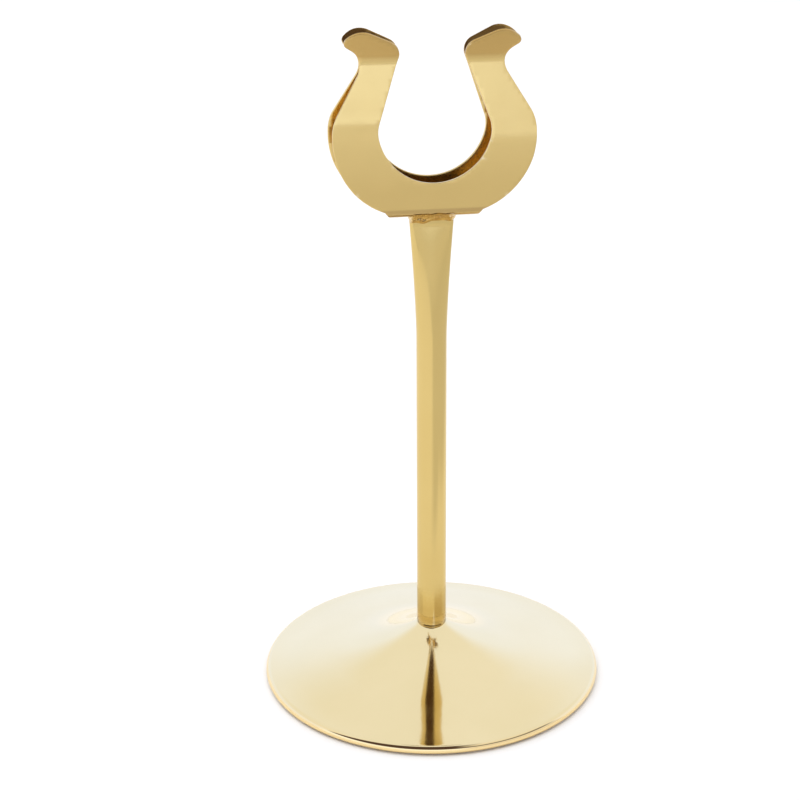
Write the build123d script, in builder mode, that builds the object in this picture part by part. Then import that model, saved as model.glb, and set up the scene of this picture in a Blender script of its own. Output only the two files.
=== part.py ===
"""Gold table number holder: weighted dish base, pinched tube stem, two-leaf spring clip.

Millimetres, +Z up. The origin is the centre of the base's underside on the table.
X runs along the clip's width, and the card slot opens along X. The front leaf is on -Y.
"""

import os
from math import cos, radians, sin, sqrt, tan

from build123d import *

# Spun base shell
BASE_RADIUS = 52.0
SHELL_T = 0.7
NECK_TOP = 16.0
NECK_RADIUS = 4.6
NECK_HOLE_RADIUS = 2.3
NECK_SLOPE = 33.0  # slopes are in degrees below horizontal
NECK_BEND_RADIUS = 65.0
CONE_SLOPE = 28.0
BELL_RADIUS = 68.8
BELL_SLOPE = 8.6
CROWN_RADIUS = 400.0
CROWN_SLOPE = 10.4
RIM_SLOPE = 5.5
SHOULDER_RADIUS = 1.7
RIM_LIFT = 0.35  # gap between the rolled rim and the table
LIP_RADIUS = 49.3

# Parts inside the base
PAD_T = 1.3
PAD_RADIUS = 48.4
PLATE_T = 0.8
PLATE_RADIUS = 50.0
PLATE_HOLE = 9.0
BALLAST_GAP = 0.3
PLATE_GAP = 0.1
BALLAST_RADIUS = 40.0
SCREW_CLEARANCE = 2.25
COUNTERBORE_RADIUS = 5.8
COUNTERBORE_TOP = 7.4

# Screw, washers and threaded plug
FLAT_WASHER_RADIUS = 5.0
FLAT_WASHER_T = 0.9
LOCK_WASHER_RADIUS = 3.7
LOCK_WASHER_T = 1.0
LOCK_WASHER_SPLIT = 0.7
HEAD_RADIUS = 4.0
HEAD_H = 2.6
RECESS_L = 4.4
RECESS_W = 0.9
RECESS_DEPTH = 1.5
SHANK_RADIUS = 2.0
SHANK_L = 19.0
PLUG_RADIUS = 3.58
PLUG_BORE = 2.04
PLUG_L = 14.0
PLUG_CHAMFER = 0.5

# Stem tube, pinched flat at its top end
TUBE_RADIUS = 4.5
TUBE_WALL = 0.9
PINCH_START = 110.0
PINCH_END = 145.0
PINCH_W = 12.8
PINCH_T = 2.7
PINCH_STEPS = 5
SIDE_FLATNESS = 0.97
PINCH_GROWTH = 1.45  # how late the widening comes along the pinch

# Clip made from folded sheet
SHEET_T = 1.0
CLIP_BOTTOM = 148.0
CLIP_HALF_DEPTH = 5.3
BEND_RADIUS = 1.7
CREASE_Z = 172.8
CREASE_HALF_DEPTH = 4.35
CREASE_RADIUS = 12.0
THROAT_Z = 191.9
THROAT_HALF_DEPTH = 0.83
THROAT_RADIUS = 5.0
FLARE_ANGLE = 25.0
FLARE_REACH = 11.0  # height of the flare before it is cut to outline

# Outline of a leaf seen from the front, right half
LEAF_HALF_W = 28.9
LEAF_CORNER_RADIUS = 22.4
LEAF_CORNER_Z = 148.4
ARM_OUTER_Z = 175.0
ARM_OUTER_RADIUS = 12.0
WAIST = (18.4, 192.5, 5.6)  # x, z, fillet radius
TOE_TIP = (25.05, 197.4, 1.4)
TOE_TOP = (20.68, 201.54, 6.2)
TOE_INNER = (8.24, 196.0, 4.0)
RING_Z = 174.0
RING_RADIUS = 16.25
ARM_INNER_DROP = 0.6  # below the ring centre, where the arm's straight edge starts
ARM_INNER_RADIUS = 9.0
FOLD_HALF_W = 14.0
WEB_HALF_W = 12.6
WEB_SHOULDER_Z = 148.3

# Braze bead between the stem and the clip
BEAD_BOTTOM = 145.2
BEAD_BOTTOM_W = 13.0
BEAD_BOTTOM_D = 3.0
BEAD_TOP_W = 13.8
BEAD_TOP_D = 9.2
BEAD_FLATNESS = 0.75  # of its front and back at the top; 1 would be as flat as the tube
BEAD_SKEW = 0.4  # the bead sits fuller on its left


def run(radius, slope_from, slope_to):
    """Horizontal distance an arc covers while its slope changes."""
    return abs(radius * (sin(radians(slope_from)) - sin(radians(slope_to))))


def bell(depth):
    """Neck cone, bell, crown and flatter rim of the dish, set in by depth along the normal."""
    flat_run = (
        BASE_RADIUS
        - NECK_RADIUS
        - run(NECK_BEND_RADIUS, NECK_SLOPE, CONE_SLOPE)
        - run(BELL_RADIUS, CONE_SLOPE, BELL_SLOPE)
        - run(CROWN_RADIUS, BELL_SLOPE, CROWN_SLOPE)
        - run(SHOULDER_RADIUS, RIM_SLOPE, 90)
    )
    flat_radius = flat_run / run(1, CROWN_SLOPE, RIM_SLOPE)
    slope = radians(NECK_SLOPE)
    cone = JernArc(
        start=neck_edge(depth),
        tangent=(cos(slope), -sin(slope)),
        radius=NECK_BEND_RADIUS + depth,
        arc_size=NECK_SLOPE - CONE_SLOPE,
    )
    sweep = JernArc(
        start=cone @ 1,
        tangent=cone % 1,
        radius=BELL_RADIUS + depth,
        arc_size=CONE_SLOPE - BELL_SLOPE,
    )
    crown = JernArc(
        start=sweep @ 1,
        tangent=sweep % 1,
        radius=CROWN_RADIUS - depth,
        arc_size=BELL_SLOPE - CROWN_SLOPE,
    )
    flat = JernArc(
        start=crown @ 1,
        tangent=crown % 1,
        radius=flat_radius + depth,
        arc_size=CROWN_SLOPE - RIM_SLOPE,
    )
    return flat


def neck_edge(depth):
    """Start of the cone beside the stem, set in by depth."""
    slope = radians(NECK_SLOPE)
    return (NECK_RADIUS - depth * sin(slope), NECK_TOP - depth * cos(slope))


def shell_side(depth):
    """Bell, shoulder and rolled rim of one shell surface; returns the lip's end."""
    flat = bell(depth)
    shoulder = JernArc(
        start=flat @ 1,
        tangent=flat % 1,
        radius=SHOULDER_RADIUS - depth,
        arc_size=RIM_SLOPE - 90,
    )
    curl_radius = (shoulder @ 1).Y - RIM_LIFT
    curl = JernArc(
        start=shoulder @ 1,
        tangent=shoulder % 1,
        radius=curl_radius - depth,
        arc_size=-90,
    )
    lip = Line(curl @ 1, (LIP_RADIUS, RIM_LIFT + depth))
    return lip @ 1


def pinched_outline(width, thickness, pinch):
    """Tube outline of two end arcs and two shallow sides; pinch 0 is a circle."""
    half_t = thickness / 2
    end_x = width / 2 - half_t * (1 - sqrt(0.5) + sqrt(0.5) * pinch)
    end_y = half_t * (sqrt(0.5) + (SIDE_FLATNESS - sqrt(0.5)) * pinch)
    with BuildSketch(mode=Mode.PRIVATE) as outline:
        with BuildLine():
            ThreePointArc((end_x, -end_y), (width / 2, 0), (end_x, end_y))
            ThreePointArc((end_x, end_y), (0, half_t), (-end_x, end_y))
            ThreePointArc((-end_x, end_y), (-width / 2, 0), (-end_x, -end_y))
            ThreePointArc((-end_x, -end_y), (0, -half_t), (end_x, -end_y))
        make_face()
    return outline.sketch


def pinch_stations():
    """Height, width, thickness and pinch from the round tube up to its flattened end."""
    round_d = 2 * TUBE_RADIUS
    stations = []
    for step in range(PINCH_STEPS + 1):
        share = step / PINCH_STEPS
        pinch = share**PINCH_GROWTH
        width = round_d + (PINCH_W - round_d) * pinch
        thickness = round_d + (PINCH_T - round_d) * pinch
        height = PINCH_START + (PINCH_END - PINCH_START) * share
        stations.append((height, width, thickness, pinch))
    return stations


def round_corners(builder, corners):
    """Fillet the vertex nearest each (x, y, radius)."""
    for x, y, radius in corners:
        fillet(builder.vertices().sort_by_distance((x, y, 0))[0], radius)


def sheet_section():
    """Front half of the folded sheet in the YZ plane, from the web's middle to the flare."""
    flare_out = FLARE_REACH * tan(radians(FLARE_ANGLE))
    with BuildSketch(mode=Mode.PRIVATE) as section:
        with BuildLine() as outer_face:
            Polyline(
                (0, CLIP_BOTTOM),
                (-CLIP_HALF_DEPTH, CLIP_BOTTOM),
                (-CREASE_HALF_DEPTH, CREASE_Z),
                (-THROAT_HALF_DEPTH, THROAT_Z),
                (-THROAT_HALF_DEPTH - flare_out, THROAT_Z + FLARE_REACH),
            )
            round_corners(
                outer_face,
                (
                    (-CLIP_HALF_DEPTH, CLIP_BOTTOM, BEND_RADIUS),
                    (-CREASE_HALF_DEPTH, CREASE_Z, CREASE_RADIUS),
                    (-THROAT_HALF_DEPTH, THROAT_Z, THROAT_RADIUS),
                ),
            )
            offset(amount=SHEET_T, side=Side.RIGHT)
        make_face()
    return section.sketch


def leaf_outline():
    """Horseshoe outline of a leaf in the XZ plane."""
    arm_inner_x = sqrt(RING_RADIUS**2 - ARM_INNER_DROP**2)
    arm_inner = (arm_inner_x, RING_Z - ARM_INNER_DROP)
    ring_bottom = (0, RING_Z - RING_RADIUS)
    ring_side = (RING_RADIUS * sin(radians(45)), RING_Z - RING_RADIUS * cos(radians(45)))
    with BuildSketch(mode=Mode.PRIVATE) as outline:
        with BuildLine() as right_half:
            Polyline(
                (0, LEAF_CORNER_Z),
                (LEAF_HALF_W, LEAF_CORNER_Z),
                (LEAF_HALF_W, ARM_OUTER_Z),
                WAIST[:2],
                TOE_TIP[:2],
                TOE_TOP[:2],
                TOE_INNER[:2],
                arm_inner,
            )
            ThreePointArc(arm_inner, ring_side, ring_bottom)
            round_corners(
                right_half,
                (
                    (LEAF_HALF_W, LEAF_CORNER_Z, LEAF_CORNER_RADIUS),
                    (LEAF_HALF_W, ARM_OUTER_Z, ARM_OUTER_RADIUS),
                    WAIST,
                    TOE_TIP,
                    TOE_TOP,
                    TOE_INNER,
                    (*arm_inner, ARM_INNER_RADIUS),
                ),
            )
            mirror(about=Plane.YZ)
        make_face()
    return outline.sketch


os.makedirs("parts", exist_ok=True)

plate_bottom = PAD_T
plate_top = plate_bottom + PLATE_T
ballast_bottom = plate_top + PLATE_GAP
flat_washer_bottom = COUNTERBORE_TOP - FLAT_WASHER_T
lock_washer_bottom = flat_washer_bottom - LOCK_WASHER_T
head_bottom = lock_washer_bottom - HEAD_H
fold_z = CLIP_BOTTOM + BEND_RADIUS

# Spun dish: a cone and bell, a rounded shoulder and a rim rolled in underneath
with BuildPart() as base_shell:
    with BuildSketch(Plane.XZ):
        with BuildLine():
            lip_end = shell_side(0)
            Polyline(lip_end, (0, RIM_LIFT), (0, NECK_TOP), (NECK_RADIUS, NECK_TOP))
        make_face()
        with BuildLine():
            lip_inside = shell_side(SHELL_T)
            roof = neck_edge(SHELL_T)
            Polyline(lip_inside, (LIP_RADIUS, RIM_LIFT), (0, RIM_LIFT), (0, roof[1]), roof)
        make_face(mode=Mode.SUBTRACT)
        Rectangle(
            NECK_HOLE_RADIUS,
            NECK_TOP,
            align=(Align.MIN, Align.MIN),
            mode=Mode.SUBTRACT,
        )
    revolve(axis=Axis.Z)
base_shell.part.label = "base_shell"
export_step(base_shell.part, "parts/base_shell.step")

# Cast ballast that fills the dish, counterbored for the screw head and washers
with BuildPart() as ballast_disc:
    with BuildSketch(Plane.XZ):
        with BuildLine():
            depth = SHELL_T + BALLAST_GAP
            edge = bell(depth) @ 1
            roof = neck_edge(depth)
            Polyline(edge, (edge.X, 0), (0, 0), (0, roof[1]), roof)
        make_face()
        with Locations((0, ballast_bottom)):
            Rectangle(
                BALLAST_RADIUS,
                NECK_TOP - depth - ballast_bottom,
                align=(Align.MIN, Align.MIN),
                mode=Mode.INTERSECT,
            )
            Rectangle(
                SCREW_CLEARANCE,
                NECK_TOP,
                align=(Align.MIN, Align.MIN),
                mode=Mode.SUBTRACT,
            )
            Rectangle(
                COUNTERBORE_RADIUS,
                COUNTERBORE_TOP - ballast_bottom,
                align=(Align.MIN, Align.MIN),
                mode=Mode.SUBTRACT,
            )
    revolve(axis=Axis.Z)
ballast_disc.part.label = "ballast_disc"
export_step(ballast_disc.part, "parts/ballast_disc.step")

# Steel plate held by the rolled rim
with BuildPart() as bottom_plate:
    with BuildSketch(Plane.XY.offset(plate_bottom)):
        Circle(PLATE_RADIUS)
        Circle(PLATE_HOLE, mode=Mode.SUBTRACT)
    extrude(amount=PLATE_T)
bottom_plate.part.label = "bottom_plate"
export_step(bottom_plate.part, "parts/bottom_plate.step")

# Non-slip rubber pad glued over the plate and screw; its lower face stands on the table
with BuildPart() as foot_pad:
    with BuildSketch():
        Circle(PAD_RADIUS)
    extrude(amount=PAD_T)
    fillet(foot_pad.faces().sort_by(Axis.Z)[0].edges(), PAD_T / 4)
foot_pad.part.label = "foot_pad"
export_step(foot_pad.part, "parts/foot_pad.step")

with BuildPart() as flat_washer:
    with BuildSketch(Plane.XY.offset(flat_washer_bottom)):
        Circle(FLAT_WASHER_RADIUS)
        Circle(SCREW_CLEARANCE, mode=Mode.SUBTRACT)
    extrude(amount=FLAT_WASHER_T)
flat_washer.part.label = "flat_washer"
export_step(flat_washer.part, "parts/flat_washer.step")

# Spring washer, cut through on one side
with BuildPart() as lock_washer:
    with BuildSketch(Plane.XY.offset(lock_washer_bottom)):
        Circle(LOCK_WASHER_RADIUS)
        Circle(SCREW_CLEARANCE, mode=Mode.SUBTRACT)
        with Locations((LOCK_WASHER_RADIUS / 2, 0)):
            Rectangle(LOCK_WASHER_RADIUS * 1.2, LOCK_WASHER_SPLIT, mode=Mode.SUBTRACT)
    extrude(amount=LOCK_WASHER_T)
lock_washer.part.label = "lock_washer"
export_step(lock_washer.part, "parts/lock_washer.step")

# Pan-head screw with a cross recess, put in from below
with BuildPart() as stem_screw:
    with BuildSketch(Plane.XY.offset(head_bottom)):
        Circle(HEAD_RADIUS)
    extrude(amount=HEAD_H)
    fillet(stem_screw.faces().sort_by(Axis.Z)[0].edges(), HEAD_H / 3)
    with BuildSketch(Plane.XY.offset(head_bottom)):
        Rectangle(RECESS_L, RECESS_W)
        Rectangle(RECESS_W, RECESS_L)
    extrude(amount=RECESS_DEPTH, mode=Mode.SUBTRACT)
    with BuildSketch(Plane.XY.offset(lock_washer_bottom)):
        Circle(SHANK_RADIUS)
    extrude(amount=SHANK_L)
    chamfer(stem_screw.faces().sort_by(Axis.Z)[-1].edges(), PLUG_CHAMFER)
stem_screw.part.label = "stem_screw"
export_step(stem_screw.part, "parts/stem_screw.step")

# Threaded plug pressed into the tube's lower end
with BuildPart() as stem_plug:
    with BuildSketch(Plane.XY.offset(NECK_TOP)):
        Circle(PLUG_RADIUS)
        Circle(PLUG_BORE, mode=Mode.SUBTRACT)
    extrude(amount=PLUG_L)
    chamfer(stem_plug.faces().sort_by(Axis.Z)[-1].edges().sort_by(SortBy.LENGTH)[-1], PLUG_CHAMFER)
stem_plug.part.label = "stem_plug"
export_step(stem_plug.part, "parts/stem_plug.step")

# Round tube whose top is pressed flat to meet the clip
with BuildPart() as stem_tube:
    with BuildSketch(Plane.XY.offset(NECK_TOP)):
        Circle(TUBE_RADIUS)
    extrude(amount=PINCH_START - NECK_TOP)
    for height, width, thickness, pinch in pinch_stations():
        with BuildSketch(Plane.XY.offset(height)):
            add(pinched_outline(width, thickness, pinch))
    loft()
    with BuildSketch(Plane.XY.offset(PINCH_END)):
        add(pinched_outline(PINCH_W, PINCH_T, 1))
    extrude(amount=CLIP_BOTTOM - PINCH_END)
    with BuildSketch(Plane.XY.offset(NECK_TOP)):
        Circle(TUBE_RADIUS - TUBE_WALL)
    extrude(amount=PINCH_START - NECK_TOP, mode=Mode.SUBTRACT)
    for height, width, thickness, pinch in pinch_stations():
        with BuildSketch(Plane.XY.offset(height)):
            add(pinched_outline(width - 2 * TUBE_WALL, thickness - 2 * TUBE_WALL, pinch))
    loft(mode=Mode.SUBTRACT)
    with BuildSketch(Plane.XY.offset(PINCH_END)):
        add(pinched_outline(PINCH_W - 2 * TUBE_WALL, PINCH_T - 2 * TUBE_WALL, 1))
    extrude(amount=CLIP_BOTTOM - PINCH_END, mode=Mode.SUBTRACT)
stem_tube.part.label = "stem_tube"
export_step(stem_tube.part, "parts/stem_tube.step")

# Braze fillet round the flattened end, up against the clip's underside
with BuildPart() as weld_bead:
    with BuildSketch(Plane.XY.offset(BEAD_BOTTOM)):
        add(pinched_outline(BEAD_BOTTOM_W, BEAD_BOTTOM_D, 1))
    with BuildSketch(Plane.XY.offset(CLIP_BOTTOM)):
        with Locations((-BEAD_SKEW, 0)):
            add(pinched_outline(BEAD_TOP_W, BEAD_TOP_D, BEAD_FLATNESS))
    loft()
    with BuildSketch(Plane.XY.offset(PINCH_END)):
        add(pinched_outline(PINCH_W, PINCH_T, 1))
    extrude(amount=CLIP_BOTTOM - PINCH_END, mode=Mode.SUBTRACT)
weld_bead.part.label = "weld_bead"
export_step(weld_bead.part, "parts/weld_bead.step")

# Web of the folded clip: its flat underside and the two bends beside it
with BuildPart() as clip_web:
    with BuildSketch(Plane.YZ):
        add(sheet_section())
        mirror(about=Plane.YZ)
    extrude(amount=LEAF_HALF_W, both=True)
    split(bisect_by=Plane.XY.offset(fold_z), keep=Keep.BOTTOM)
    with BuildSketch(Plane.XZ):
        with BuildLine():
            Polyline(
                (0, CLIP_BOTTOM),
                (WEB_HALF_W, CLIP_BOTTOM),
                (WEB_HALF_W, WEB_SHOULDER_Z),
                (FOLD_HALF_W, fold_z),
                (0, fold_z),
            )
            mirror(about=Plane.YZ)
        make_face()
    extrude(amount=CLIP_HALF_DEPTH, both=True, mode=Mode.INTERSECT)
clip_web.part.label = "clip_web"
export_step(clip_web.part, "parts/clip_web.step")

# Front leaf: upright below, creased inwards to the throat, flared out at the toes
with BuildPart() as front_leaf:
    with BuildSketch(Plane.YZ):
        add(sheet_section())
    extrude(amount=LEAF_HALF_W, both=True)
    split(bisect_by=Plane.XY.offset(fold_z), keep=Keep.TOP)
    with BuildSketch(Plane.XZ):
        add(leaf_outline())
    extrude(amount=2 * CLIP_HALF_DEPTH, both=True, mode=Mode.INTERSECT)
front_leaf.part.label = "front_leaf"
export_step(front_leaf.part, "parts/front_leaf.step")

# Back leaf, the front leaf's mirror image
with BuildPart() as back_leaf:
    mirror(front_leaf.part, about=Plane.XZ)
back_leaf.part.label = "back_leaf"
export_step(back_leaf.part, "parts/back_leaf.step")
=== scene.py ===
"""Gold table number holder: dish base, pinched tube stem and two-leaf horseshoe clip.

Works in millimetres and scales to metres when a mesh is made. +Z is up, X runs along the
clip's width, and the front leaf is on the -Y side.
"""

from math import atan2, ceil, cos, hypot, pi, radians, sin, sqrt, tan

import bmesh
import bpy
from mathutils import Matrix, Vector, noise


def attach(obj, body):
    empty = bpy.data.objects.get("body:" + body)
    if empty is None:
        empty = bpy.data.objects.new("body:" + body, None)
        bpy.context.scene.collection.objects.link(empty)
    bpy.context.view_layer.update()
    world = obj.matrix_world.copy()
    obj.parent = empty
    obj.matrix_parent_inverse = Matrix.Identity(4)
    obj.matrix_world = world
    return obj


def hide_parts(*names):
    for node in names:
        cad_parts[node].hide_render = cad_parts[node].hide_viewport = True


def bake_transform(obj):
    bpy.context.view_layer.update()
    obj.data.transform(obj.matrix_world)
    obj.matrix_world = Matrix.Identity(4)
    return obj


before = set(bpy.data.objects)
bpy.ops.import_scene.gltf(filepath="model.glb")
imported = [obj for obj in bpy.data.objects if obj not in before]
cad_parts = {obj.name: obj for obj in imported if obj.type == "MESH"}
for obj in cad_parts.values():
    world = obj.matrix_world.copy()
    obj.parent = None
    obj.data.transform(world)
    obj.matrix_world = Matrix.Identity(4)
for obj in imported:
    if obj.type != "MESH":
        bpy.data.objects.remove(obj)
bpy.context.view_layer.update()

MM = 0.001

# Camera ---------------------------------------------------------------------------------
CAMERA_REACH = 497.0  # mm from the stem's axis, along the floor
CAMERA_HEIGHT = 290.0
CAMERA_PITCH = 21.9  # degrees below the horizon
CAMERA_AZIMUTH = -8.8
CAMERA_LENS = 81.0
SENSOR = 36.0
CAMERA_SHIFT_X = -31.5 / 800  # a share of the picture's width

camera_data = bpy.data.cameras.new("camera")
camera_data.lens = CAMERA_LENS
camera_data.sensor_width = SENSOR
camera_data.shift_x = CAMERA_SHIFT_X
camera = bpy.data.objects.new("camera", camera_data)
bpy.context.scene.collection.objects.link(camera)
azimuth = radians(CAMERA_AZIMUTH)
camera.location = (
    CAMERA_REACH * MM * sin(azimuth),
    -CAMERA_REACH * MM * cos(azimuth),
    CAMERA_HEIGHT * MM,
)
camera.rotation_euler = (radians(90 - CAMERA_PITCH), 0, azimuth)
bpy.context.scene.camera = camera


# Mesh helpers ---------------------------------------------------------------------------
def clamped(value):
    """The value, kept between 0 and 1."""
    return min(max(value, 0), 1)


def make_object(name, vertices, faces, sharp=None):
    """Mesh object from vertices in mm, smooth shaded, with edges sharper than sharp kept."""
    mesh = bpy.data.meshes.new(name)
    mesh.from_pydata([(x * MM, y * MM, z * MM) for x, y, z in vertices], [], faces)
    mesh.validate()
    mesh.shade_smooth()
    if sharp is not None:
        mesh.set_sharp_from_angle(angle=radians(sharp))
    made = bpy.data.objects.new(name, mesh)
    bpy.context.scene.collection.objects.link(made)
    return made


def arc_from(start, heading, radius, turn, steps):
    """Points of a tangent arc after start. Angles in degrees; a positive turn is leftwards."""
    side = 1 if turn > 0 else -1
    centre_x = start[0] - side * radius * sin(radians(heading))
    centre_y = start[1] + side * radius * cos(radians(heading))
    points = []
    for step in range(1, steps + 1):
        angle = radians(heading + turn * step / steps)
        points.append(
            (centre_x + side * radius * sin(angle), centre_y - side * radius * cos(angle))
        )
    return points, heading + turn


def arc_through(a, b, c, steps):
    """Points from a to c, without c, on the circle through a, b and c."""
    ax, ay, bx, by, cx, cy = *a, *b, *c
    d = 2 * (ax * (by - cy) + bx * (cy - ay) + cx * (ay - by))
    a2, b2, c2 = ax * ax + ay * ay, bx * bx + by * by, cx * cx + cy * cy
    ux = (a2 * (by - cy) + b2 * (cy - ay) + c2 * (ay - by)) / d
    uy = (a2 * (cx - bx) + b2 * (ax - cx) + c2 * (bx - ax)) / d
    start = atan2(ay - uy, ax - ux)
    end = atan2(cy - uy, cx - ux)
    while end < start:
        end += 2 * pi
    radius = hypot(ax - ux, ay - uy)
    return [
        (
            ux + radius * cos(start + (end - start) * i / steps),
            uy + radius * sin(start + (end - start) * i / steps),
        )
        for i in range(steps)
    ]


def lathe(name, profile, segments, sharp, wobble):
    """Closed profile of (radius, z) points turned about Z, with faint swells of wobble mm."""
    count = len(profile)
    vertices = []
    for i in range(segments):
        angle = 2 * pi * i / segments
        for radius, z in profile:
            x, y = radius * cos(angle), radius * sin(angle)
            lift = wobble * noise.noise(Vector((x / SWELL_SIZE, y / SWELL_SIZE, 3.1)))
            vertices.append((x, y, z + lift))
    faces = []
    for i in range(segments):
        for j in range(count):
            a, b = i * count + j, i * count + (j + 1) % count
            c, d = (i + 1) % segments * count + (j + 1) % count, (i + 1) % segments * count + j
            faces.append((a, b, c, d))
    return make_object(name, vertices, faces, sharp)


# Base shell -----------------------------------------------------------------------------
BASE_RADIUS = 52.0
SHELL_T = 0.7
NECK_TOP = 16.0
NECK_RADIUS = 4.6
NECK_HOLE = 2.3
NECK_SLOPE = 33.0
NECK_BEND_RADIUS = 65.0
CONE_SLOPE = 28.0
BELL_RADIUS = 68.8
BELL_SLOPE = 8.6
CROWN_RADIUS = 400.0
CROWN_SLOPE = 10.4
RIM_SLOPE = 5.5
SHOULDER_RADIUS = 1.7
RIM_LIFT = 0.35
LIP_RADIUS = 49.3
BASE_SEGMENTS = 288
BASE_WOBBLE = 0.02
SWELL_SIZE = 21


def run(radius, slope_from, slope_to):
    """Horizontal distance an arc covers while its slope changes."""
    return abs(radius * (sin(radians(slope_from)) - sin(radians(slope_to))))


def shell_profile(depth):
    """One surface of the shell from the neck to the lip, set in by depth."""
    flat_run = (
        BASE_RADIUS
        - NECK_RADIUS
        - run(NECK_BEND_RADIUS, NECK_SLOPE, CONE_SLOPE)
        - run(BELL_RADIUS, CONE_SLOPE, BELL_SLOPE)
        - run(CROWN_RADIUS, BELL_SLOPE, CROWN_SLOPE)
        - run(SHOULDER_RADIUS, RIM_SLOPE, 90)
    )
    flat_radius = flat_run / run(1, CROWN_SLOPE, RIM_SLOPE)
    slope = radians(NECK_SLOPE)
    points = [(NECK_RADIUS - depth * sin(slope), NECK_TOP - depth * cos(slope))]
    heading = -NECK_SLOPE
    bends = (
        (NECK_BEND_RADIUS + depth, NECK_SLOPE - CONE_SLOPE, 8),
        (BELL_RADIUS + depth, CONE_SLOPE - BELL_SLOPE, 34),
        (CROWN_RADIUS - depth, BELL_SLOPE - CROWN_SLOPE, 14),
        (flat_radius + depth, CROWN_SLOPE - RIM_SLOPE, 12),
        (SHOULDER_RADIUS - depth, RIM_SLOPE - 90, 14),
    )
    for radius, turn, steps in bends:
        more, heading = arc_from(points[-1], heading, radius, turn, steps)
        points += more
    curl = points[-1][1] - RIM_LIFT - depth
    more, heading = arc_from(points[-1], heading, curl, -90, 8)
    points += more
    points.append((LIP_RADIUS, RIM_LIFT + depth))
    return points


outside = shell_profile(0)
inside = shell_profile(SHELL_T)
roof = inside[0][1]
shell_ring = [(NECK_HOLE, NECK_TOP)] + outside + inside[::-1] + [(NECK_HOLE, roof)]
base_shell = lathe("base_shell_spun", shell_ring, BASE_SEGMENTS, 40, BASE_WOBBLE)

# Stem tube ------------------------------------------------------------------------------
TUBE_D = 9.0
TUBE_WALL = 0.9
PINCH_START = 110.0
PINCH_END = 145.0
PINCH_W = 12.8
PINCH_GROWTH = 1.45
SIDE_FLATNESS = 0.90
END_STEPS = 20
SIDE_STEPS = 28
STRAIGHT_STEPS = 24
PINCH_STEPS = 30
TUBE_EDGE = 0.15
CLIP_BOTTOM = 148.0
CLIP_HALF_DEPTH = 5.3
BEND_RADIUS = 1.7
TUBE_TOP = [146.5, CLIP_BOTTOM - 0.05]  # its last heights, the top one just under the web


def tube_outline(width, thickness, pinch):
    """Tube outline of two end arcs and two shallow sides; pinch 0 is a circle."""
    half_t = thickness / 2
    diagonal = sqrt(0.5)
    end_x = width / 2 - half_t * (1 - diagonal + diagonal * pinch)
    end_y = half_t * (diagonal + (SIDE_FLATNESS - diagonal) * pinch)
    return (
        arc_through((end_x, -end_y), (width / 2, 0), (end_x, end_y), END_STEPS)
        + arc_through((end_x, end_y), (0, half_t), (-end_x, end_y), SIDE_STEPS)
        + arc_through((-end_x, end_y), (-width / 2, 0), (-end_x, -end_y), END_STEPS)
        + arc_through((-end_x, -end_y), (0, -half_t), (end_x, -end_y), SIDE_STEPS)
    )


def tube_section(z, inset=0.0):
    """Outline of the tube at height z, set in by inset; its perimeter never changes."""
    pinch = clamped((z - PINCH_START) / (PINCH_END - PINCH_START)) ** PINCH_GROWTH
    width = TUBE_D + (PINCH_W - TUBE_D) * pinch
    thickness = (pi * TUBE_D - 2 * width) / (pi - 2)
    return tube_outline(width - 2 * inset, thickness - 2 * inset, pinch)


def tube_mesh(name, heights):
    """Tube wall closed at both ends, with its lower outer edge broken."""
    rings = [(heights[0], TUBE_EDGE), (heights[0] + TUBE_EDGE, 0)]
    rings += [(z, 0) for z in heights[1:]]
    rings += [(z, TUBE_WALL) for z in reversed(heights)]
    vertices, faces = [], []
    for z, inset in rings:
        vertices += [(x, y, z) for x, y in tube_section(z, inset)]
    around = 2 * (END_STEPS + SIDE_STEPS)
    for i in range(len(rings)):
        for j in range(around):
            a, b = i * around + j, i * around + (j + 1) % around
            up = (i + 1) % len(rings) * around
            faces.append((a, b, up + (j + 1) % around, up + j))
    return make_object(name, vertices, faces, 45)


straight = [
    NECK_TOP + (PINCH_START - NECK_TOP) * i / STRAIGHT_STEPS for i in range(STRAIGHT_STEPS + 1)
]
pinched = [
    PINCH_START + (PINCH_END - PINCH_START) * i / PINCH_STEPS for i in range(1, PINCH_STEPS + 1)
]
stem = tube_mesh("stem_tube_drawn", straight + pinched + TUBE_TOP)

# Braze bead -----------------------------------------------------------------------------
BEAD_STEPS = 16
BEAD_DROP = 2.5
BEAD_DROP_LEFT = 0.6
BEAD_COVER = 0.18  # how thickly its upper edge covers the clip's bends
BEAD_END_REACH = 0.5
BEAD_CLIMB = 0.85  # how far it runs up the clip's bends
BEAD_LUMPS = 0.5
BEAD_SINK = 0.08  # how far the bead's lower edge runs into the tube's surface
BEAD_AROUND = 3  # points on the bead for each point on the tube
BEAD_AIM = 4  # points each way that give the outline's direction
BEAD_FACING = 3  # how sharply its cover on the bends gives way at the tube's ends
BEAD_HOLLOW = 0.1
BEAD_ROOT = 0.2  # how far its hidden root runs up into the web
BEAD_ROOT_DROP = 0.9  # the root's lower end, as a share of the drop
DROP_LUMPS = 0.5
CLIMB_LUMPS = 0.4
CRUMBS = 0.12
LUMP_SIZE = 2.3
CLIMB_LUMP_SIZE = 1.9
RIDGE_SIZE = 2.4
CRUMB_SIZE = 0.8


def closed_finer(points, times):
    """Closed outline with each step split into equal parts."""
    finer = []
    for p, q in zip(points, points[1:] + points[:1]):
        for i in range(times):
            share = i / times
            finer.append((p[0] + (q[0] - p[0]) * share, p[1] + (q[1] - p[1]) * share))
    return finer


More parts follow.
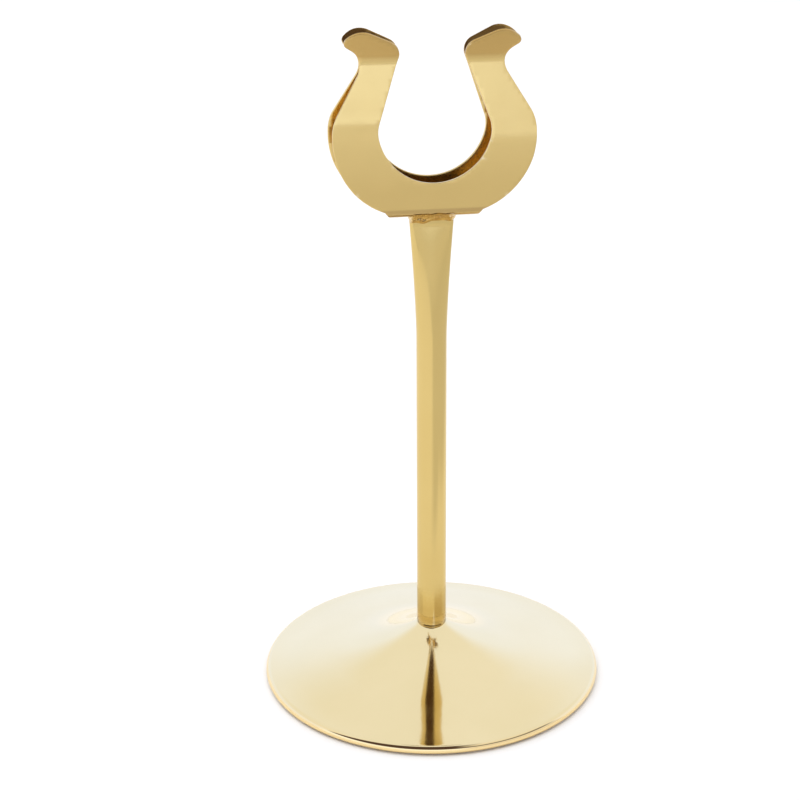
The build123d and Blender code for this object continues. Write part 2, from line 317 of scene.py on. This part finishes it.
def bead_mesh(name):
    """Lumpy fillet between the tube's flattened end and the clip, fuller on the left."""
    outline = closed_finer(tube_section(CLIP_BOTTOM), BEAD_AROUND)
    around = len(outline)
    vertices, faces = [], []
    for i, (x, y) in enumerate(outline):
        before, after = outline[i - BEAD_AIM], outline[(i + BEAD_AIM) % around]
        along = Vector((after[0] - before[0], after[1] - before[1])).normalized()
        out = Vector((along.y, -along.x))
        left = max(0.0, -x / (PINCH_W / 2))
        facing = abs(out.y) ** BEAD_FACING
        lump = noise.noise(Vector((x / LUMP_SIZE, y / LUMP_SIZE, 0.7)))
        drop = BEAD_DROP + BEAD_DROP_LEFT * left + DROP_LUMPS * lump
        lump = noise.noise(Vector((x / CLIMB_LUMP_SIZE, y, 3.0)))
        climb = BEAD_CLIMB * facing * (1 + CLIMB_LUMPS * lump)
        bend_run = sqrt(BEND_RADIUS**2 - (BEND_RADIUS - climb) ** 2)
        bend_y = CLIP_HALF_DEPTH - BEND_RADIUS + bend_run
        reach = BEAD_END_REACH + (bend_y + BEAD_COVER - abs(y) - BEAD_END_REACH) * facing
        section = [(-TUBE_WALL / 2, CLIP_BOTTOM + BEAD_ROOT)]
        for step in range(BEAD_STEPS + 1):
            share = step / BEAD_STEPS
            bulge = reach * (1 - share) * (1 - BEAD_HOLLOW * sin(pi * share))
            ridge = noise.noise(
                Vector((x / RIDGE_SIZE, y / RIDGE_SIZE + share * 2.8 + x / 9, 5.0))
            )
            crumb = noise.noise(Vector((x / CRUMB_SIZE, y / CRUMB_SIZE + share * 3.4, 2.0)))
            # The lumps fade out towards both edges
            settle = min(1, 3 * (1 - share)) * min(1, 4 * share + 0.1)
            bulge += (BEAD_LUMPS * ridge + CRUMBS * crumb) * settle
            bulge = max(bulge, -BEAD_SINK / 2) - BEAD_SINK * share
            section.append((bulge, CLIP_BOTTOM + climb - (drop + climb) * share))
        section.append((-TUBE_WALL / 2, CLIP_BOTTOM - drop * BEAD_ROOT_DROP))
        for offset, z in section:
            vertices.append((x + out.x * offset, y + out.y * offset, z))
    rows = BEAD_STEPS + 3
    for i in range(around):
        for j in range(rows):
            a, b = i * rows + j, i * rows + (j + 1) % rows
            c, d = (i + 1) % around * rows + (j + 1) % rows, (i + 1) % around * rows + j
            faces.append((a, d, c, b))
    return make_object(name, vertices, faces, 70)


bead = bead_mesh("weld_bead_braze")

# Clip -----------------------------------------------------------------------------------
SHEET_T = 1.0
CREASE = (4.35, 172.8, 12.0)  # half depth of the outer face, height, bend radius
CREASE_SKEW = 2.8  # how much higher the crease runs at the left edge, and lower at the right
CREASE_LEFT_RADIUS = 5.0
CREASE_RIGHT_RADIUS = 26.0
THROAT = (0.83, 191.9, 5.0)
FLARE_ANGLE = 25.0
FLARE_REACH = 11.0
EDGE_ROUND = 0.15
EDGE_STEPS = 4
CELL = 1.1
FINE_CELL = CELL / 4  # in the bends and within FINE_ZONE of the throat
FINE_ZONE = 3
COLUMNS = 24  # lengthwise cuts each way from the middle
COLUMN_PITCH = 1.3
COLUMN_SHIFT = 0.021  # keeps the cuts off the outline's own points
SHEET_WAVE = 0.035
WAVE_SIZE = 9
WAVE_EASE = 8  # height above the fold over which the wave grows
FRONT_DRIFT = 0.5  # the front leaf stands this far to the right round its ring
DRIFT_EASE = 14  # height above the fold over which the drift grows
DRIFT_END = 197
DRIFT_FADE = 20  # height below DRIFT_END over which it goes again
TOE_SETTLE = 0.28  # the toes tilt, so the centre line is cut lower than the top edge shows
TOE_EASE = 6

LEAF_HALF_W = 28.9
LEAF_CORNER_RADIUS = 22.4
LEAF_CORNER_Z = 148.4
ARM_OUTER = (28.9, 175.0, 12.0)
WAIST = (18.4, 192.5, 5.6)
TOE_TIP = (25.5, 197.4, 1.4)
TOE_TOP = (20.68, 201.54, 6.2)
TOE_INNER = (8.24, 196.0, 4.0)
RING_Z = 174.0
RING_RADIUS = 16.25
ARM_INNER_DROP = 0.6
ARM_INNER_RADIUS = 9.0
FOLD_HALF_W = 14.0
FILLET_STEPS = 14
RING_STEPS = 60
WEB_HALF_W = 12.6
WEB_SPANS = 12
FOLD_Z = CLIP_BOTTOM + BEND_RADIUS
S_BEND = FOLD_Z - (BEND_RADIUS - SHEET_T / 2) * (pi / 2)  # where the bend meets the flat web

# A sheet's rounded cut edge, as (how far it is set in, height above the face)
ROUNDED_EDGE = [
    (EDGE_ROUND * (1 - sin(angle)), EDGE_ROUND * (1 - cos(angle)))
    for angle in (pi / 2 * step / EDGE_STEPS for step in range(EDGE_STEPS + 1))
]


def rounded(points, step=0.45):
    """Open path through (x, y, radius) corners, with each corner rounded by an arc."""
    path = [points[0][:2]]
    for before, corner, after in zip(points, points[1:], points[2:]):
        p, q, r = Vector(before[:2]), Vector(corner[:2]), Vector(after[:2])
        radius = corner[2]
        to_p, to_r = (p - q).normalized(), (r - q).normalized()
        half = to_p.angle(to_r) / 2
        reach = radius / tan(half)
        start, end = q + to_p * reach, q + to_r * reach
        centre = q + (to_p + to_r).normalized() * (radius / sin(half))
        a0 = atan2(start.y - centre.y, start.x - centre.x)
        turn = atan2(end.y - centre.y, end.x - centre.x) - a0
        turn = (turn + pi) % (2 * pi) - pi
        count = max(4, ceil(abs(turn) * radius / step))
        for i in range(count + 1):
            angle = a0 + turn * i / count
            path.append((centre.x + radius * cos(angle), centre.y + radius * sin(angle)))
    path.append(points[-1][:2])
    return path


def outer_path(crease):
    """The leaf's outer face from the web's middle up, as (half depth, z)."""
    flare_out = FLARE_REACH * tan(radians(FLARE_ANGLE))
    corners = [
        (0, CLIP_BOTTOM, 0),
        (CLIP_HALF_DEPTH, CLIP_BOTTOM, BEND_RADIUS),
        crease,
        THROAT,
        (THROAT[0] + flare_out, THROAT[1] + FLARE_REACH, 0),
    ]
    return rounded(corners, 0.2)


def centre_path(crease):
    """Centre line of the sheet with its normals: (half depth, z, outward normal)."""
    outer = outer_path(crease)
    result = []
    for i, (y, z) in enumerate(outer):
        before, after = outer[max(i - 1, 0)], outer[min(i + 1, len(outer) - 1)]
        along = Vector((after[0] - before[0], after[1] - before[1])).normalized()
        normal = Vector((along.y, -along.x))
        centre = Vector((y, z)) - normal * (SHEET_T / 2)
        result.append((centre.x, centre.y, normal))
    return result


def keyed(centre):
    """Centre line as (s, point): s is the height above the fold, or length along it below."""
    fold = next(i for i, p in enumerate(centre) if p[1] >= FOLD_Z)
    lengths = [0.0]
    below = centre[: fold + 1][::-1]
    for p, q in zip(below, below[1:]):
        lengths.append(lengths[-1] + hypot(p[0] - q[0], p[1] - q[1]))
    keys = [FOLD_Z - length for length in lengths][::-1] + [p[1] for p in centre[fold + 1 :]]
    return list(zip(keys, centre))


def look_up(table, s):
    """Centre point and normal at s, between the nearest two rows of a table from keyed."""
    low, high = 0, len(table) - 1
    while high - low > 1:
        mid = (low + high) // 2
        if table[mid][0] <= s:
            low = mid
        else:
            high = mid
    (s0, p), (s1, q) = table[low], table[high]
    share = (s - s0) / (s1 - s0)
    y = p[0] + (q[0] - p[0]) * share
    z = p[1] + (q[1] - p[1]) * share
    return y, z, p[2].lerp(q[2], share)


LEFT_EDGE = keyed(centre_path((CREASE[0], CREASE[1] + CREASE_SKEW, CREASE_LEFT_RADIUS)))
RIGHT_EDGE = keyed(centre_path((CREASE[0], CREASE[1] - CREASE_SKEW, CREASE_RIGHT_RADIUS)))


def on_sheet(s, x=0.0):
    """Centre point and normal of the sheet at s, blended between its left and right edges."""
    left, right = look_up(LEFT_EDGE, s), look_up(RIGHT_EDGE, s)
    share = clamped(0.5 + x / (2 * LEAF_HALF_W))
    y = left[0] + (right[0] - left[0]) * share
    z = left[1] + (right[1] - left[1]) * share
    return y, z, left[2].lerp(right[2], share).normalized()


def sheet_piece(name, outline, side):
    """Solid sheet with rounded cut edges, cut to a leftward outline of (x, s) and bent.

    A side of -1 makes the front leaf, and 1 the back one.
    """
    count = len(outline)
    spots = [Vector(p) for p in outline]
    outs = []
    for i in range(count):
        p, q, r = spots[i - 1], spots[i], spots[(i + 1) % count]
        normal = Vector(((q - p).y, -(q - p).x)).normalized()
        next_normal = Vector(((r - q).y, -(r - q).x)).normalized()
        bisector = (normal + next_normal).normalized()
        outs.append(bisector / max(0.5, bisector.dot(normal)))
    rings = ROUNDED_EDGE + [(inset, SHEET_T - h) for inset, h in reversed(ROUNDED_EDGE)]
    bm = bmesh.new()
    loops = []
    for inset, h in rings:
        ring = [spot - out * inset for spot, out in zip(spots, outs)]
        loops.append([bm.verts.new((p.x, p.y, h - SHEET_T / 2)) for p in ring])
    for lower, upper in zip(loops, loops[1:]):
        for i in range(count):
            j = (i + 1) % count
            bm.faces.new((lower[i], lower[j], upper[j], upper[i]))
    bm.faces.new(list(reversed(loops[0])))
    bm.faces.new(loops[-1])
    low = min(p.y for p in spots)
    high = max(p.y for p in spots)
    cuts = []
    s = low
    while s < high:
        fine = s < FOLD_Z + 1 or THROAT[1] - FINE_ZONE < s < THROAT[1] + FINE_ZONE
        s += FINE_CELL if fine else CELL
        cuts.append(((0, s, 0), (0, 1, 0)))
    for i in range(-COLUMNS, COLUMNS + 1):
        cuts.append(((i * COLUMN_PITCH + COLUMN_SHIFT, 0, 0), (1, 0, 0)))
    for point, direction in cuts:
        geometry = bm.verts[:] + bm.edges[:] + bm.faces[:]
        bmesh.ops.bisect_plane(bm, geom=geometry, dist=1e-4, plane_co=point, plane_no=direction)
    bmesh.ops.triangulate(bm, faces=[f for f in bm.faces if len(f.verts) > 4])
    for v in bm.verts:
        x, s, h = v.co
        y, z, normal = on_sheet(s, x)
        y += normal.x * h
        z += normal.y * h
        wave = SHEET_WAVE * noise.noise(Vector((x / WAVE_SIZE, z / WAVE_SIZE, 7.0 * side)))
        wave *= clamped((s - FOLD_Z) / WAVE_EASE)
        if side < 0:
            drift = min((s - FOLD_Z) / DRIFT_EASE, (DRIFT_END - s) / DRIFT_FADE)
            x += FRONT_DRIFT * clamped(drift)
        v.co = (x * MM, side * (y + wave) * MM, z * MM)
    if side > 0:
        bmesh.ops.reverse_faces(bm, faces=bm.faces[:])
    mesh = bpy.data.meshes.new(name)
    bm.to_mesh(mesh)
    bm.free()
    mesh.shade_smooth()
    made = bpy.data.objects.new(name, mesh)
    bpy.context.scene.collection.objects.link(made)
    return made


def ring_fillet(inner_x, inner_z):
    """Arc of ARM_INNER_RADIUS from the arm's straight inner edge on to the ring's circle."""
    edge = Vector((inner_x - TOE_INNER[0], inner_z - TOE_INNER[1])).normalized()
    inward = Vector((edge.y, -edge.x))
    corner = Vector((inner_x, inner_z - RING_Z))
    seat = corner + inward * ARM_INNER_RADIUS
    reach = RING_RADIUS - ARM_INNER_RADIUS
    along = seat.dot(edge)
    shift = -along + sqrt(along * along - seat.length_squared + reach * reach)
    centre = seat + edge * shift
    start = -inward
    end = centre.normalized()
    a0 = atan2(start.y, start.x)
    turn = atan2(end.y, end.x) - a0
    arc = [
        (
            centre.x + ARM_INNER_RADIUS * cos(a0 + turn * i / FILLET_STEPS),
            centre.y + RING_Z + ARM_INNER_RADIUS * sin(a0 + turn * i / FILLET_STEPS),
        )
        for i in range(FILLET_STEPS + 1)
    ]
    return arc, atan2(end.y, end.x)


def leaf_outline():
    """Closed outline of a leaf in (x, s), leftward round from the flat web to the toes."""
    inner_x = sqrt(RING_RADIUS**2 - ARM_INNER_DROP**2)
    inner_z = RING_Z - ARM_INNER_DROP
    right = rounded(
        [
            (0, LEAF_CORNER_Z, 0),
            (LEAF_HALF_W, LEAF_CORNER_Z, LEAF_CORNER_RADIUS),
            ARM_OUTER,
            WAIST,
            TOE_TIP,
            TOE_TOP,
            TOE_INNER,
            (inner_x, inner_z, 0),
        ]
    )[:-1]
    right = [p for p in right if p[1] > FOLD_Z + 0.1]
    fillet, start = ring_fillet(inner_x, inner_z)
    ring = [
        (
            RING_RADIUS * cos(start + (-pi / 2 - start) * i / RING_STEPS),
            RING_RADIUS * sin(start + (-pi / 2 - start) * i / RING_STEPS) + RING_Z,
        )
        for i in range(1, RING_STEPS + 1)
    ]
    right += fillet
    skirt = [
        (WEB_HALF_W, S_BEND),
        (WEB_HALF_W + 0.02, S_BEND + 0.25),
        (WEB_HALF_W + (FOLD_HALF_W - WEB_HALF_W) * 0.45, FOLD_Z - 0.8),
        (FOLD_HALF_W, FOLD_Z),
    ]
    path = skirt + right + ring
    settled = []
    for x, s in path:
        ease = clamped((s - THROAT[1]) / TOE_EASE)
        settled.append((x, s - TOE_SETTLE * ease * ease * (3 - 2 * ease)))
    return settled + [(-x, s) for x, s in reversed(settled[:-1])]


front_leaf = sheet_piece("front_leaf_sheet", leaf_outline(), -1)
back_leaf = sheet_piece("back_leaf_sheet", leaf_outline(), 1)


def web_mesh(name):
    """Flat strip between the two bends."""
    half = on_sheet(S_BEND)[0]
    section = [(-(WEB_HALF_W - inset), h) for inset, h in ROUNDED_EDGE]
    section += [(-(WEB_HALF_W - inset), SHEET_T - h) for inset, h in reversed(ROUNDED_EDGE)]
    section += [(-x, SHEET_T - h) for x, h in section]
    vertices, faces = [], []
    for k in range(WEB_SPANS + 1):
        y = -half + 2 * half * k / WEB_SPANS
        vertices += [(x, y, CLIP_BOTTOM + h) for x, h in section]
    n = len(section)
    for k in range(WEB_SPANS):
        for i in range(n):
            j = (i + 1) % n
            faces.append((k * n + i, k * n + j, (k + 1) * n + j, (k + 1) * n + i))
    faces.append(tuple(reversed(range(n))))
    faces.append(tuple(range(WEB_SPANS * n, WEB_SPANS * n + n)))
    return make_object(name, vertices, faces, 50)


clip_web = web_mesh("clip_web_strip")


# Materials ------------------------------------------------------------------------------
def new_material(name):
    material = bpy.data.materials.new(name)
    material.use_nodes = True
    return material, material.node_tree.nodes, material.node_tree.links


def add_noise(nodes, links, vector, scale, detail):
    made = nodes.new("ShaderNodeTexNoise")
    made.inputs["Scale"].default_value = scale
    made.inputs["Detail"].default_value = detail
    links.new(vector, made.inputs["Vector"])
    return made.outputs["Fac"]


def add_range(nodes, links, value, low, high, source=(0.3, 0.7)):
    """A value that goes from low to high while another goes from source[0] to source[1]."""
    made = nodes.new("ShaderNodeMapRange")
    made.inputs["From Min"].default_value = source[0]
    made.inputs["From Max"].default_value = source[1]
    made.inputs["To Min"].default_value = low
    made.inputs["To Max"].default_value = high
    links.new(value, made.inputs["Value"])
    return made.outputs["Result"]


def add_mix(nodes, links, factor, a, b):
    """Mix of two colours, each a tuple or the output of another node."""
    made = nodes.new("ShaderNodeMix")
    made.data_type = "RGBA"
    for socket, colour in ((made.inputs["A"], a), (made.inputs["B"], b)):
        if isinstance(colour, tuple):
            socket.default_value = (*colour, 1)
        else:
            links.new(colour, socket)
    links.new(factor, made.inputs["Factor"])
    return made.outputs["Result"]


def add_math(nodes, links, operation, a, b):
    """Arithmetic on two values, each a number or the output of another node."""
    made = nodes.new("ShaderNodeMath")
    made.operation = operation
    for socket, value in zip(made.inputs, (a, b)):
        if isinstance(value, (int, float)):
            socket.default_value = value
        else:
            links.new(value, socket)
    return made.outputs["Value"]


def add_bump(nodes, links, shader, height, strength, depth):
    made = nodes.new("ShaderNodeBump")
    made.inputs["Strength"].default_value = strength
    made.inputs["Distance"].default_value = depth
    links.new(height, made.inputs["Height"])
    links.new(made.outputs["Normal"], shader.inputs["Normal"])


def add_ramp(nodes, links, value, stops):
    """Colours at places along a 0 to 1 value."""
    made = nodes.new("ShaderNodeValToRGB")
    made.color_ramp.interpolation = "EASE"
    first, *middle, last = stops
    for element, (place, colour) in zip(made.color_ramp.elements, (first, last)):
        element.position = place
        element.color = (*colour, 1)
    for place, colour in middle:
        made.color_ramp.elements.new(place).color = (*colour, 1)
    links.new(value, made.inputs["Fac"])
    return made.outputs["Color"]


def stretched(nodes, links, vector, scale):
    made = nodes.new("ShaderNodeMapping")
    made.inputs["Scale"].default_value = scale
    links.new(vector, made.inputs["Vector"])
    return made.outputs["Vector"]


def separated(nodes, links, vector):
    """The X, Y and Z of a vector."""
    made = nodes.new("ShaderNodeSeparateXYZ")
    links.new(vector, made.inputs["Vector"])
    return made.outputs["X"], made.outputs["Y"], made.outputs["Z"]


def polar(nodes, links, vector):
    """Coordinates of (distance from the axis, 0, height), for marks that run round it."""
    x, y, z = separated(nodes, links, vector)
    flat = nodes.new("ShaderNodeCombineXYZ")
    links.new(x, flat.inputs["X"])
    links.new(y, flat.inputs["Y"])
    length = nodes.new("ShaderNodeVectorMath")
    length.operation = "LENGTH"
    links.new(flat.outputs["Vector"], length.inputs[0])
    made = nodes.new("ShaderNodeCombineXYZ")
    links.new(length.outputs["Value"], made.inputs["X"])
    links.new(z, made.inputs["Z"])
    return made.outputs["Vector"]


SPECK_SCALE = 1900.0
SPECK_SHARE = 0.35
SPECK_RANGE = (0.62, 0.8)
WEAR_RANGE = (0.53, 0.62)  # pointiness at which an edge starts to be worn, and is fully worn
SMEAR_SCALE = 120.0
GRAIN_ROUGHNESS = 0.012
GRIT_SCALE = 900.0
METAL_BUMP_DEPTH = 0.00002  # m
DULL_BUMP_DEPTH = 0.0001


def metal(
    name, colour, deep, rough, grain_scale, bump,
    turned=False, cloud_scale=38.0, painted_light_bands=(), worn=0.6,
):
    """Plated metal: drifting tone, worn paler edges, and fine grain, round the axis if turned.

    Each band, a (colour, start, end), is a painted tone standing in for light and shade: the
    colour goes over to the band's colour between two heights in mm, from none at start to all
    at end.
    """
    material, nodes, links = new_material(name)
    shader = nodes["Principled BSDF"]
    shader.inputs["Metallic"].default_value = 1.0
    place = nodes.new("ShaderNodeTexCoord").outputs["Object"]
    clouds = add_noise(nodes, links, place, cloud_scale, 3.0)
    tone = add_mix(nodes, links, add_range(nodes, links, clouds, 0, 1), deep, colour)
    # Bands of painted light and shade by height
    for tint, start, end in painted_light_bands:
        height = separated(nodes, links, place)[2]
        mask = add_range(nodes, links, height, 0, 1, (start * MM, end * MM))
        tone = add_mix(nodes, links, mask, tone, tint)
    specks = add_noise(nodes, links, place, SPECK_SCALE, 2.0)
    specks = add_range(nodes, links, specks, 0, SPECK_SHARE, SPECK_RANGE)
    tone = add_mix(nodes, links, specks, tone, deep)
    edge = nodes.new("ShaderNodeNewGeometry").outputs["Pointiness"]
    wear = add_range(nodes, links, edge, 0, worn, WEAR_RANGE)
    tone = add_mix(nodes, links, wear, tone, PALE_GOLD)
    links.new(tone, shader.inputs["Base Color"])
    grained = polar(nodes, links, place) if turned else place
    lines = add_noise(nodes, links, stretched(nodes, links, grained, grain_scale), 1.0, 3.0)
    smears = add_noise(nodes, links, place, SMEAR_SCALE, 5.0)
    smears = add_range(nodes, links, smears, *rough)
    scratches = add_range(nodes, links, lines, -GRAIN_ROUGHNESS, GRAIN_ROUGHNESS)
    gloss = add_math(nodes, links, "ADD", smears, scratches)
    links.new(gloss, shader.inputs["Roughness"])
    grit = add_noise(nodes, links, place, GRIT_SCALE, 2.0)
    surface = add_math(nodes, links, "ADD", lines, grit)
    add_bump(nodes, links, shader, surface, bump, METAL_BUMP_DEPTH)
    return material


def dull(name, colour, other, rough, scale, bump, metallic=0.0):
    """Rubber, cast iron or zinc: mottled colour and roughness with a pitted surface."""
    material, nodes, links = new_material(name)
    shader = nodes["Principled BSDF"]
    shader.inputs["Metallic"].default_value = metallic
    place = nodes.new("ShaderNodeTexCoord").outputs["Object"]
    clouds = add_noise(nodes, links, place, scale / 12, 4.0)
    pits = add_noise(nodes, links, place, scale, 4.0)
    tone = add_mix(nodes, links, add_range(nodes, links, clouds, 0, 1), colour, other)
    links.new(tone, shader.inputs["Base Color"])
    links.new(add_range(nodes, links, pits, *rough), shader.inputs["Roughness"])
    add_bump(nodes, links, shader, pits, bump, DULL_BUMP_DEPTH)
    return material


CLIP_GOLD = (0.80, 0.60, 0.245)
CLIP_DEEP = (0.765, 0.565, 0.22)
# Painted shade: the flared toes are tinted darker, standing in for the darker surroundings they
# reflect
TOE_PAINTED_SHADE = (0.54, 0.355, 0.12)
# Painted shade: the leaves below the crease are tinted darker, standing in for the dimmer floor
# they reflect
RING_PAINTED_SHADE = (0.70, 0.505, 0.19)
# Painted shade: the downward-facing bends and the web under them are tinted darker
BEND_PAINTED_SHADE = (0.56, 0.385, 0.15)
STEM_GOLD = (0.715, 0.53, 0.20)
STEM_DEEP = (0.685, 0.50, 0.18)
# Painted shade: the stem's foot, just above the base, is tinted darker
FOOT_PAINTED_SHADE = (0.62, 0.43, 0.14)
# The base's paler gold is partly its own paler plating and partly a painted highlight for its
# washed-out reflections
BASE_GOLD_AND_HIGHLIGHT = (0.88, 0.765, 0.50)
BASE_DEEP_AND_HIGHLIGHT = (0.85, 0.735, 0.465)
# Painted reflection: the rim's lower side is tinted a deeper gold than the floor it reflects
RIM_PAINTED_REFLECTION = (0.91, 0.70, 0.35)
BEAD_GOLD = (0.80, 0.61, 0.29)
BEAD_DEEP = (0.58, 0.38, 0.16)
PALE_GOLD = (0.93, 0.80, 0.54)

# The clip's bands are painted shade: on the toes, below the crease and on the bends
gold_clip = metal(
    "gold_clip", CLIP_GOLD, CLIP_DEEP, (0.16, 0.24), (90, 400, 2600), 0.25,
    painted_light_bands=(
        (TOE_PAINTED_SHADE, THROAT[1] - 0.5, THROAT[1] + 1.5),
        (RING_PAINTED_SHADE, 172.0, 156.0),
        (BEND_PAINTED_SHADE, FOLD_Z + 0.9, FOLD_Z + 0.5),
    ),
)
# The stem's band is painted shade at its foot
gold_stem = metal(
    "gold_stem", STEM_GOLD, STEM_DEEP, (0.12, 0.18), (2600, 2600, 30), 0.22,
    painted_light_bands=((FOOT_PAINTED_SHADE, 27.0, 22.0),),
)
# The base's band is a painted reflection on the rim's lower side
gold_base = metal(
    "gold_base", BASE_GOLD_AND_HIGHLIGHT, BASE_DEEP_AND_HIGHLIGHT, (0.045, 0.085), (2400, 1, 2400), 0.12,
    turned=True, painted_light_bands=((RIM_PAINTED_REFLECTION, 2.7, 1.9),), worn=0.06,
)
gold_bead = metal(
    "gold_bead", BEAD_GOLD, BEAD_DEEP, (0.16, 0.34), (900, 900, 900), 0.9, cloud_scale=520.0
)
iron = dull("iron", (0.07, 0.07, 0.075), (0.11, 0.10, 0.10), (0.45, 0.75), 900, 0.6, 1.0)
zinc = dull("zinc", (0.60, 0.61, 0.63), (0.68, 0.68, 0.66), (0.22, 0.38), 2200, 0.15, 1.0)
rubber = dull("rubber", (0.018, 0.018, 0.019), (0.03, 0.03, 0.031), (0.6, 0.85), 3000, 0.5)


def dress(piece, material, body, slot, *nodes):
    """Give a piece its material and its body if one is given, and hide the CAD parts named in
    nodes; slot is not used.
    """
    piece.data.materials.append(material)
    if body:
        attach(piece, body)
    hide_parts(*nodes)


dress(base_shell, gold_base, "stand", "gold_plate", "base_shell")
dress(stem, gold_stem, "stand", "gold_plate", "stem_tube")
dress(bead, gold_bead, "stand", "braze", "weld_bead")
dress(clip_web, gold_clip, "stand", "gold_plate", "clip_web")

# Each leaf is already bent from the fold up to its crease, as the sprung sheet is; here it gets
# its material and no body, and its transform is baked into its mesh
for leaf, node, side in ((front_leaf, "front_leaf", -1), (back_leaf, "back_leaf", 1)):
    dress(leaf, gold_clip, None, "gold_plate", node)
    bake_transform(leaf)

for node, material in (
    ("ballast_disc", iron),
    ("bottom_plate", zinc),
    ("foot_pad", rubber),
    ("stem_plug", zinc),
    ("stem_screw", zinc),
    ("lock_washer", zinc),
    ("flat_washer", zinc),
):
    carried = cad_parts[node]
    carried.data.materials.clear()
    carried.data.materials.append(material)

# Floor ----------------------------------------------------------------------------------
FLOOR_HALF = 6.0  # m, as are the places below
FLOOR_DROP = 0.02  # mm below the foot pad
FLOOR_WHITE = 0.95
# Painted shade on the floor: the grey stands in for light falling off to the right of and in
# front of the object
FLOOR_PAINTED_SHADE = 0.78  # share of the white left in the soft grey right of and before the object
GREY_SLANT = 0.39
GREY_RIGHT = (0.125, 0.19)
GREY_AHEAD = (-0.12, -0.08)
GREY_AHEAD_SIDE = (-0.03, 0.03)
GREY_END = (-1.4, -0.7)
FLOOR_FIBRES = (0.98, 1.0)


def floor_material():
    """White paper with painted shade: soft grey to the right of the object and for a stretch in
    front of it.
    """
    material, nodes, links = new_material("floor_with_painted_shade")
    shader = nodes["Principled BSDF"]
    shader.inputs["Roughness"].default_value = 0.9
    place = nodes.new("ShaderNodeTexCoord").outputs["Object"]
    x, y, _ = separated(nodes, links, place)
    slant = add_math(nodes, links, "MULTIPLY", y, GREY_SLANT)
    right = add_math(nodes, links, "SUBTRACT", x, slant)
    right = add_range(nodes, links, right, 0, 1, GREY_RIGHT)
    ahead = add_range(nodes, links, y, 1, 0, GREY_AHEAD)
    ahead_side = add_range(nodes, links, x, 0, 1, GREY_AHEAD_SIDE)
    ahead = add_math(nodes, links, "MULTIPLY", ahead, ahead_side)
    # Where the painted shade lies
    shade = add_math(nodes, links, "MAXIMUM", right, ahead)
    level = add_range(nodes, links, shade, 1, FLOOR_PAINTED_SHADE, (0, 1))
    far = add_range(nodes, links, y, 1, FLOOR_PAINTED_SHADE, GREY_END)
    level = add_math(nodes, links, "MAXIMUM", level, far)
    fibres = add_range(nodes, links, add_noise(nodes, links, place, 3.0, 2.0), *FLOOR_FIBRES)
    level = add_math(nodes, links, "MULTIPLY", level, fibres)
    level = add_math(nodes, links, "MULTIPLY", level, FLOOR_WHITE)
    tone = nodes.new("ShaderNodeCombineColor")
    for channel in ("Red", "Green", "Blue"):
        links.new(level, tone.inputs[channel])
    links.new(tone.outputs["Color"], shader.inputs["Base Color"])
    return material


floor = make_object(
    "floor",
    [
        (x * FLOOR_HALF / MM, y * FLOOR_HALF / MM, -FLOOR_DROP)
        for x, y in ((-1, -1), (1, -1), (1, 1), (-1, 1))
    ],
    [(0, 1, 2, 3)],
)
floor.data.materials.append(floor_material())

# Light: a bright cool wall all round, a warm ceiling behind, and a dark one on the front side
COOL = (0.80, 0.87, 1.08)
COOL_RIGHT = (0.60, 0.61, 0.66)
COOL_BACK = (0.68, 0.735, 0.90)
HORIZON = (0.726, 0.756, 0.873)
WARM = (0.65, 0.64, 0.61)
DARK = (0.065, 0.042, 0.036)
FRONT_STOPS = ((0.0, COOL), (0.36, COOL), (0.5, DARK), (1.0, DARK))
RIGHT_STOPS = ((0.0, COOL_RIGHT), (0.38, COOL_RIGHT), (0.55, DARK), (0.75, WARM), (1.0, WARM))
BACK_STOPS = ((0.0, HORIZON), (0.14, COOL_BACK), (0.4, COOL_BACK), (0.7, WARM), (1.0, WARM))
BEHIND = (-0.17, -0.08)
RIGHTWARD = (0.12, 0.32)
WORLD_STRENGTH = 1.5

world = bpy.data.worlds.new("studio")
world.use_nodes = True
bpy.context.scene.world = world
nodes, links = world.node_tree.nodes, world.node_tree.links
direction = nodes.new("ShaderNodeTexCoord").outputs["Generated"]
x, y, z = separated(nodes, links, direction)
up = add_range(nodes, links, z, 0, 1, (0, 1))
behind = add_range(nodes, links, y, 0, 1, BEHIND)
rightward = add_range(nodes, links, x, 0, 1, RIGHTWARD)
front_left = add_ramp(nodes, links, up, FRONT_STOPS)
front_right = add_ramp(nodes, links, up, RIGHT_STOPS)
back = add_ramp(nodes, links, up, BACK_STOPS)
front = add_mix(nodes, links, rightward, front_left, front_right)
background = nodes["Background"]
links.new(add_mix(nodes, links, behind, front, back), background.inputs["Color"])
background.inputs["Strength"].default_value = WORLD_STRENGTH

LAMP_PLACE = Vector((-0.4, 0.3, 2.2))
LAMP_TARGET = Vector((0, 0.1, 0))
LAMP_SIZE = 2.6
LAMP_POWER = 30

lamp_data = bpy.data.lights.new("overhead", "AREA")
lamp_data.shape = "RECTANGLE"
lamp_data.size = lamp_data.size_y = LAMP_SIZE
lamp_data.energy = LAMP_POWER
lamp = bpy.data.objects.new("overhead", lamp_data)
lamp.location = LAMP_PLACE
lamp.rotation_euler = (LAMP_TARGET - LAMP_PLACE).to_track_quat("-Z", "Y").to_euler()
lamp.visible_glossy = False
bpy.context.scene.collection.objects.link(lamp)

bpy.context.scene.view_settings.view_transform = "Standard"
